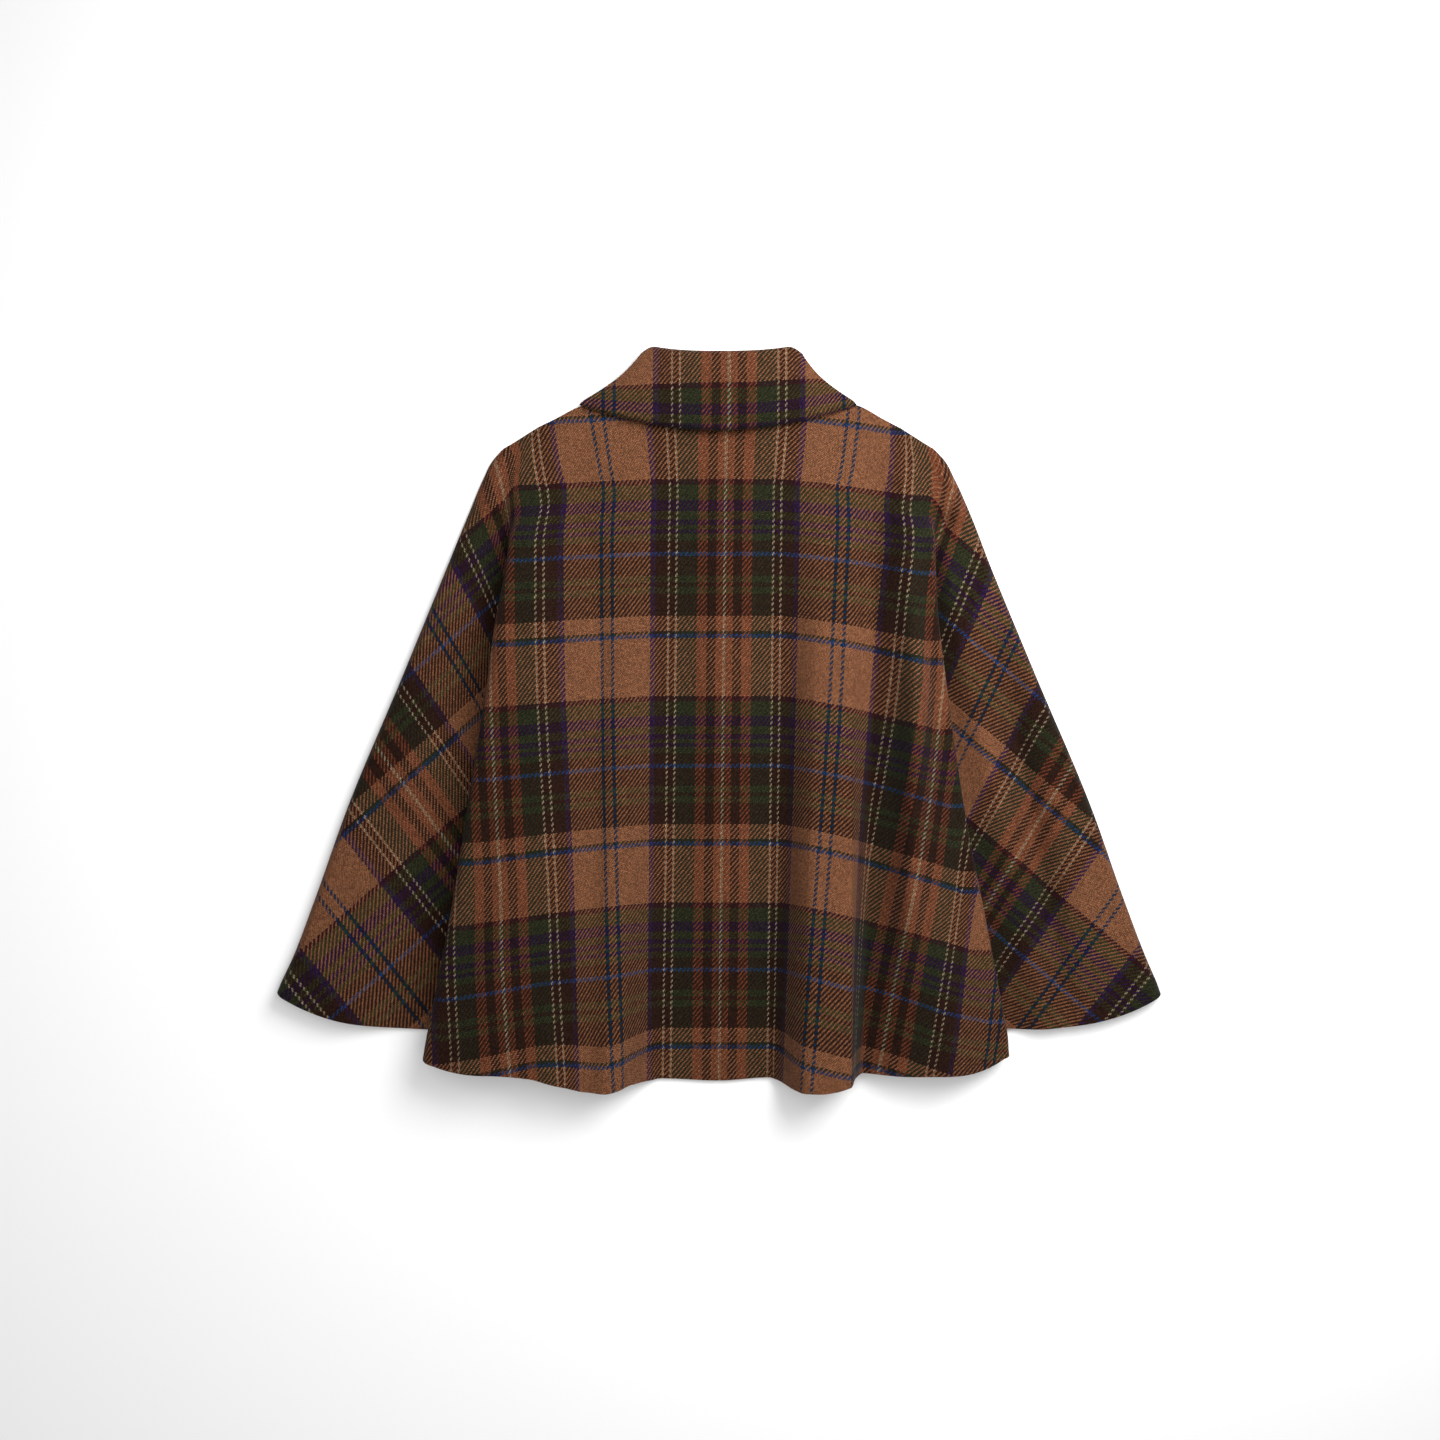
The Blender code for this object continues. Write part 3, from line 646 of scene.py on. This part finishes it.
def twill_group(colours):
    """Shader group of the checked 2/2 twill: colour, with painted shade between the yarns' humps, and height
    at a place on the flat cloth.
    """
    tree = bpy.data.node_groups.new("Checked twill", "ShaderNodeTree")
    tree.interface.new_socket("Cloth", in_out="INPUT", socket_type="NodeSocketVector")
    tree.interface.new_socket("Ends", in_out="INPUT", socket_type="NodeSocketFloat")
    tree.interface.new_socket("Picks", in_out="INPUT", socket_type="NodeSocketFloat")
    tree.interface.new_socket("Nap", in_out="INPUT", socket_type="NodeSocketFloat")
    tree.interface.new_socket("Color", in_out="OUTPUT", socket_type="NodeSocketColor")
    tree.interface.new_socket("Height", in_out="OUTPUT", socket_type="NodeSocketFloat")
    given = tree.nodes.new("NodeGroupInput").outputs
    made = tree.nodes.new("NodeGroupOutput").inputs

    # Yarns wander a little in a fulled cloth
    wander = noise(tree, given["Cloth"], WANDER_SCALE, 2).outputs["Color"]
    wander = vector_maths(tree, "SUBTRACT", wander, (0.5, 0.5, 0.5))
    wander = vector_maths(tree, "MULTIPLY", wander, (WANDER, WANDER, 0))
    place = tree.nodes.new("ShaderNodeSeparateXYZ")
    link(tree, vector_maths(tree, "ADD", given["Cloth"], wander), place.inputs[0])
    ends = maths(tree, "DIVIDE", place.outputs["X"], given["Ends"])
    picks = maths(tree, "DIVIDE", place.outputs["Y"], given["Picks"])
    end, pick = maths(tree, "FLOOR", ends), maths(tree, "FLOOR", picks)
    across_end, across_pick = maths(tree, "FRACT", ends), maths(tree, "FRACT", picks)
    step = maths(tree, "FLOORED_MODULO", maths(tree, "ADD", end, pick), TWILL_REPEAT)
    warp_up = maths(tree, "LESS_THAN", step, WARP_UP)

    end_place = maths(tree, "ADD", maths(tree, "PINGPONG", end, WARP_HALF_REPEAT), 0.5)
    pick_place = maths(tree, "FLOORED_MODULO", maths(tree, "ADD", pick, 0.5), WEFT_REPEAT)
    warp = striped(tree, end_place, WARP_HALF_REPEAT + 1, WARP_CHART, colours)
    weft = striped(tree, pick_place, WEFT_REPEAT, WEFT_CHART, colours)
    upper = mixed(tree, "RGBA", warp_up, weft, warp)
    lower = mixed(tree, "RGBA", warp_up, warp, weft)

    # Each float is a short round hump, two yarns long
    def hump(across, along):
        side = maths(tree, "MULTIPLY_ADD", across, 2.0, -1.0)
        round_off = maths(tree, "SUBTRACT", 1.0, maths(tree, "MULTIPLY", side, side))
        arch = maths(tree, "ABSOLUTE", maths(tree, "SINE", maths(tree, "MULTIPLY", along, pi / 2)))
        return maths(tree, "MULTIPLY", round_off, arch)

    warp_hump = hump(across_end, maths(tree, "ADD", step, across_pick))
    weft_hump = hump(across_pick, maths(tree, "ADD", step, across_end))
    height = mixed(tree, "FLOAT", warp_up, weft_hump, warp_hump)

    # Fibres lie along the upper yarn
    fibre_scale = mixed(tree, "VECTOR", warp_up, (FIBRE_STRETCH, 1.0, 1.0), (1.0, FIBRE_STRETCH, 1.0))
    fibre_place = vector_maths(tree, "MULTIPLY", given["Cloth"], fibre_scale)
    fibre = noise(tree, fibre_place, FIBRE_SCALE, 2).outputs["Fac"]
    mottle = noise(tree, given["Cloth"], MOTTLE_SCALE, 3).outputs["Fac"]
    float_number = tree.nodes.new("ShaderNodeCombineXYZ")
    link(tree, end, float_number.inputs["X"])
    link(tree, pick, float_number.inputs["Y"])
    spin = tree.nodes.new("ShaderNodeTexWhiteNoise")
    link(tree, float_number.outputs[0], spin.inputs["Vector"])
    colour = mixed(tree, "RGBA", given["Nap"], upper, lower, "DARKEN")
    # Painted shade: the colour darkens as each hump falls away, between the yarns and at the ends of each
    # float; fibres, mottling and each float's spin then vary the yarn's own tone
    painted_shade_and_tone = maths(tree, "MULTIPLY_ADD", height, *PAINTED_GAP_SHADE)
    for value, values in ((fibre, FIBRE_SHADE), (mottle, MOTTLE_SHADE), (spin.outputs["Value"], YARN_SHADE)):
        painted_shade_and_tone = maths(tree, "MULTIPLY", painted_shade_and_tone, maths(tree, "MULTIPLY_ADD", value, *values))
    toned_colour_with_painted_shade = mixed(tree, "RGBA", 1.0, colour, painted_shade_and_tone, "MULTIPLY")
    link(tree, toned_colour_with_painted_shade, made["Color"])
    link(tree, maths(tree, "MULTIPLY_ADD", fibre, FIBRE_HEIGHT, height), made["Height"])
    return tree


def wool(name, group, cloth):
    """Material of one slot: the twill on the cloth's own UV map, soft and dull with a faint sheen."""
    material = bpy.data.materials.new(name)
    material.use_nodes = True
    tree = material.node_tree
    shader = tree.nodes["Principled BSDF"]
    place = tree.nodes.new("ShaderNodeUVMap")
    place.uv_map = "cloth"
    twill = tree.nodes.new("ShaderNodeGroup")
    twill.node_tree = group
    link(tree, place.outputs["UV"], twill.inputs["Cloth"])
    twill.inputs["Ends"].default_value = cloth.ends
    twill.inputs["Picks"].default_value = cloth.picks
    twill.inputs["Nap"].default_value = cloth.nap
    link(tree, twill.outputs["Color"], shader.inputs["Base Color"])
    bump = tree.nodes.new("ShaderNodeBump")
    bump.inputs["Strength"].default_value = BUMP_STRENGTH
    bump.inputs["Distance"].default_value = BUMP_DEPTH
    link(tree, twill.outputs["Height"], bump.inputs["Height"])
    link(tree, bump.outputs["Normal"], shader.inputs["Normal"])
    shader.inputs["Roughness"].default_value = 0.95
    shader.inputs["Specular IOR Level"].default_value = 0.06
    shader.inputs["Sheen Weight"].default_value = 0.03
    shader.inputs["Sheen Roughness"].default_value = 0.45
    return material


def twill_material(name):
    """The material of a slot, made once."""
    found = bpy.data.materials.get(name)
    if found:
        return found
    group = bpy.data.node_groups.get("Checked twill") or twill_group(bpy.context.scene.cape_colours)
    return wool(name, group, bpy.context.scene.cape_cloth)


def finish_wall(piece, thickness, rim):
    """Gives an open cloth its wall, with a rounded rim."""
    solidify = piece.modifiers.new("wall", "SOLIDIFY")
    solidify.thickness = thickness * MM
    solidify.offset = 0
    solidify.use_even_offset = True
    solidify.use_quality_normals = True
    bevel = piece.modifiers.new("rim", "BEVEL")
    bevel.width = rim * MM
    bevel.segments = 3
    bevel.limit_method = "ANGLE"
    bevel.angle_limit = radians(60)


def cloth_piece(name, points, places, material):
    """An open cloth through rows of points, with its flat places as its UV map."""
    rows, columns = points.shape[:2]
    mesh = bpy.data.meshes.new(name)
    bm = bmesh.new()
    bmesh.ops.create_grid(bm, x_segments=columns - 1, y_segments=rows - 1, size=1)
    moved = (points.reshape(-1, 3) - (0, MIDDLE_ALONG, 0)) * MM
    for vert, point in zip(bm.verts, moved):
        vert.co = point
    bm.to_mesh(mesh)
    bm.free()
    return link_piece(name, mesh, places.reshape(-1, 2) * MM, material)


def flat_piece(name, outline, turned, material):
    """A panel that lies flat on the floor, cut to an outline."""
    points = np.array(outline, float) * (turned, 1)
    mesh = bpy.data.meshes.new(name)
    bm = bmesh.new()
    for across, along in points - (0, MIDDLE_ALONG):
        bm.verts.new((across * MM, along * MM, CLOTH / 2 * MM))
    face = bm.faces.new(bm.verts)
    face.normal_update()
    if face.normal.z < 0:
        face.normal_flip()
    bm.to_mesh(mesh)
    bm.free()
    places = np.stack([points[:, 0], NECK_ALONG - points[:, 1]], axis=1)
    return link_piece(name, mesh, places * MM, material)


def link_piece(name, mesh, places, material):
    """An object of the mesh in the scene, with its UV map and material."""
    layer = mesh.uv_layers.new(name="cloth")
    corners = np.empty(len(mesh.loops), np.int32)
    mesh.loops.foreach_get("vertex_index", corners)
    layer.data.foreach_set("uv", places[corners].astype(np.float32).ravel())
    mesh.shade_smooth()
    mesh.materials.append(material)
    piece = bpy.data.objects.new(name, mesh)
    bpy.context.scene.collection.objects.link(piece)
    return piece


def declare(piece, node):
    """Sets the piece in the frame: hangs it under the root and hides the CAD part that it stands for."""
    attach(piece, "root")
    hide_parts(node)


def colour_property(name, description, default):
    """A colour that the panel shows."""
    return bpy.props.FloatVectorProperty(
        name=name, description=description, subtype="COLOR", size=3, min=0, max=1, default=default
    )


class CapeColours(bpy.types.PropertyGroup):
    """Yarn colours of the check."""

    tan: colour_property("Tan", "Ground colour of the light bands", (0.1255, 0.0508, 0.0242))
    rust: colour_property("Rust", "Warp stripes beside the centre", (0.088, 0.0243, 0.0109))
    dark: colour_property("Dark brown", "Ground colour of the dark bands", (0.0142, 0.0054, 0.0032))
    green: colour_property("Green", "Bottle green warp stripes", (0.0114, 0.0123, 0.0061))
    olive: colour_property("Olive", "Green weft stripes", (0.0165, 0.018, 0.0064))
    cream: colour_property("Cream", "Fine light lines", (0.15, 0.112, 0.07))
    blue: colour_property("Blue", "Fine weft lines", (0.00804, 0.0208, 0.067))
    navy: colour_property("Navy", "Paired warp lines", (0.0045, 0.015, 0.034))
    purple: colour_property("Purple", "Warp stripes beside the tan", (0.0161, 0.00704, 0.0241))
    plum: colour_property("Plum", "Weft stripes in the dark bands", (0.0105, 0.0036, 0.0185))
    maroon: colour_property("Maroon", "Weft line at the head of each dark band", (0.0174, 0.00368, 0.0057))


class CapeCloth(bpy.types.PropertyGroup):
    """Weave and wall of the wool."""

    ends: bpy.props.FloatProperty(
        name="Ends", description="Distance between neighbouring warp yarns", default=0.001115,
        min=0.0004, max=0.004, precision=6, unit="LENGTH",
    )
    picks: bpy.props.FloatProperty(
        name="Picks", description="Distance between neighbouring weft yarns", default=0.001385,
        min=0.0004, max=0.004, precision=6, unit="LENGTH",
    )
    nap: bpy.props.FloatProperty(
        name="Nap", description="How far a darker yarn shows through a lighter one over it", default=0.19,
        min=0, max=0.5, subtype="FACTOR",
    )
    rim: bpy.props.FloatProperty(
        name="Rim", description="Rounding of the cloth's edges", default=0.0008,
        min=0.0001, max=0.00095, precision=5, unit="LENGTH",
    )


class CapeStage(bpy.types.PropertyGroup):
    """Floor and light."""

    floor: colour_property("Floor", "Colour of the plain floor", (0.92, 0.92, 0.92))
    key: bpy.props.FloatProperty(
        name="Key light", description="Power of the soft light above the upper right, in watts", default=18.5,
        min=0, max=500,
    )
    key_place: bpy.props.FloatVectorProperty(
        name="Key place", description="Place of the key light, which faces the cape", subtype="TRANSLATION",
        unit="LENGTH", size=3, default=(0.52, 0.5, 0.86),
    )
    key_size: bpy.props.FloatProperty(
        name="Key size", description="Side of the key light", default=0.8, min=0.01, max=10, unit="LENGTH"
    )
    sky: bpy.props.FloatProperty(
        name="Surround", description="Strength of the white surround", default=0.26, min=0, max=5
    )
    top: bpy.props.FloatProperty(
        name="Top light", description="Power of the soft light overhead, in watts", default=36, min=0, max=500
    )
    top_height: bpy.props.FloatProperty(
        name="Top height", description="Height of the top light", default=2.4, min=1.9, max=10, unit="LENGTH"
    )
    top_size: bpy.props.FloatProperty(
        name="Top size", description="Side of the top light", default=2.2, min=0.01, max=10, unit="LENGTH"
    )


class CAPE_OT_backs(bpy.types.Operator):
    """Build the two back halves, with their flutes, folds and wings"""

    bl_idname = "cape.backs"
    bl_label = "Back halves"

    def execute(self, context):
        for side in ("left", "right"):
            points = back_points(side)
            places = back_cloth(side, points)
            if not np.isfinite(points).all() or not np.isfinite(places).all():
                raise RuntimeError(f"the {side} back half has points with no place")
            piece = cloth_piece(f"back_{side}_cloth", points, places, twill_material("back_twill"))
            finish_wall(piece, CLOTH, context.scene.cape_cloth.rim / MM)
            declare(piece, f"back_{side}")
        return {"FINISHED"}


class CAPE_OT_fronts(bpy.types.Operator):
    """Build the two fronts, which lie flat underneath"""

    bl_idname = "cape.fronts"
    bl_label = "Fronts"

    def execute(self, context):
        for side, turned in (("left", -1), ("right", 1)):
            piece = flat_piece(f"front_{side}_cloth", FRONT_OUTLINE, turned, twill_material("front_twill"))
            finish_wall(piece, CLOTH, context.scene.cape_cloth.rim / MM)
            declare(piece, f"front_{side}")
        return {"FINISHED"}


class CAPE_OT_collar(bpy.types.Operator):
    """Build the collar's back, which rolls over and falls on the shoulders"""

    bl_idname = "cape.collar"
    bl_label = "Collar"

    def execute(self, context):
        points = collar_points()
        piece = cloth_piece("collar_cloth", points, collar_cloth(points), twill_material("collar_twill"))
        finish_wall(piece, COLLAR_CLOTH, context.scene.cape_cloth.rim / MM * COLLAR_RIM)
        declare(piece, "collar")
        return {"FINISHED"}


class CAPE_OT_collar_fronts(bpy.types.Operator):
    """Build the front ends of the collar, which lie flat underneath"""

    bl_idname = "cape.collar_fronts"
    bl_label = "Collar fronts"

    def execute(self, context):
        for side, turned in (("left", -1), ("right", 1)):
            name = f"collar_front_{side}_cloth"
            piece = flat_piece(name, COLLAR_FRONT_OUTLINE, turned, twill_material("collar_twill"))
            finish_wall(piece, CLOTH, context.scene.cape_cloth.rim / MM)
            declare(piece, f"collar_front_{side}")
        return {"FINISHED"}


def floor_material(colour):
    """Pale floor with a trace of unevenness."""
    material = bpy.data.materials.new("pale_floor")
    material.use_nodes = True
    tree = material.node_tree
    shader = tree.nodes["Principled BSDF"]
    place = tree.nodes.new("ShaderNodeTexCoord")
    grain = noise(tree, place.outputs["Object"], 3, 2).outputs["Fac"]
    tone = maths(tree, "MULTIPLY_ADD", grain, 0.01, 0.995)
    link(tree, mixed(tree, "RGBA", 1.0, (*colour, 1), tone, "MULTIPLY"), shader.inputs["Base Color"])
    shader.inputs["Roughness"].default_value = 0.9
    shader.inputs["Specular IOR Level"].default_value = 0.1
    return material


def soft_light(context, name, power, size, place):
    """A square soft light that faces the origin."""
    data = bpy.data.lights.new(name, "AREA")
    data.size = size
    data.energy = power
    light = bpy.data.objects.new(name, data)
    light.location = place
    light.rotation_euler = Vector(place).to_track_quat("Z", "Y").to_euler()
    context.scene.collection.objects.link(light)


class CAPE_OT_stage(bpy.types.Operator):
    """Set the floor, the soft light and the camera straight above"""

    bl_idname = "cape.stage"
    bl_label = "Stage"

    def execute(self, context):
        settings = context.scene.cape_stage
        mesh = bpy.data.meshes.new("floor")
        bm = bmesh.new()
        bmesh.ops.create_grid(bm, x_segments=1, y_segments=1, size=FLOOR_HALF_WIDTH)
        for vert in bm.verts:
            vert.co.z = FLOOR_HEIGHT
        bm.to_mesh(mesh)
        bm.free()
        mesh.materials.append(floor_material(settings.floor))
        floor = bpy.data.objects.new("floor", mesh)
        context.scene.collection.objects.link(floor)

        soft_light(context, "key", settings.key, settings.key_size, settings.key_place)
        soft_light(context, "top", settings.top, settings.top_size, (0, 0, settings.top_height))

        world = bpy.data.worlds.new("surround")
        world.use_nodes = True
        background = world.node_tree.nodes["Background"]
        background.inputs["Color"].default_value = (1, 1, 1, 1)
        background.inputs["Strength"].default_value = settings.sky
        context.scene.world = world
        context.scene.view_settings.view_transform = "Standard"

        camera_data = bpy.data.cameras.new("camera")
        camera_data.sensor_width = CAMERA_SENSOR
        camera_data.lens = CAMERA_LENS
        camera = bpy.data.objects.new("camera", camera_data)
        camera.location = (CAMERA_ACROSS * MM, (CAMERA_ALONG - MIDDLE_ALONG) * MM, CAMERA_HEIGHT * MM)
        context.scene.collection.objects.link(camera)
        context.scene.camera = camera
        return {"FINISHED"}


class CAPE_PT_panel(bpy.types.Panel):
    """Sidebar panel with the cape's settings and its pieces"""

    bl_idname = "CAPE_PT_panel"
    bl_label = "Checked wool cape"
    bl_space_type = "VIEW_3D"
    bl_region_type = "UI"
    bl_category = "Cape"

    def draw(self, context):
        layout = self.layout
        for group in (context.scene.cape_colours, context.scene.cape_cloth, context.scene.cape_stage):
            box = layout.box()
            for name in group.__annotations__:
                box.prop(group, name)
        for operator in OPERATORS:
            layout.operator(operator.bl_idname)


OPERATORS = (CAPE_OT_backs, CAPE_OT_fronts, CAPE_OT_collar, CAPE_OT_collar_fronts, CAPE_OT_stage)
CLASSES = (CapeColours, CapeCloth, CapeStage, *OPERATORS, CAPE_PT_panel)


def register():
    for cls in CLASSES:
        bpy.utils.register_class(cls)
    bpy.types.Scene.cape_colours = bpy.props.PointerProperty(type=CapeColours)
    bpy.types.Scene.cape_cloth = bpy.props.PointerProperty(type=CapeCloth)
    bpy.types.Scene.cape_stage = bpy.props.PointerProperty(type=CapeStage)


def unregister():
    del bpy.types.Scene.cape_stage
    del bpy.types.Scene.cape_cloth
    del bpy.types.Scene.cape_colours
    for cls in reversed(CLASSES):
        bpy.utils.unregister_class(cls)


def main():
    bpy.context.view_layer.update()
    register()
    bpy.ops.cape.backs()
    bpy.ops.cape.fronts()
    bpy.ops.cape.collar()
    bpy.ops.cape.collar_fronts()
    bpy.ops.cape.stage()


if __name__ == "__main__":
    main()
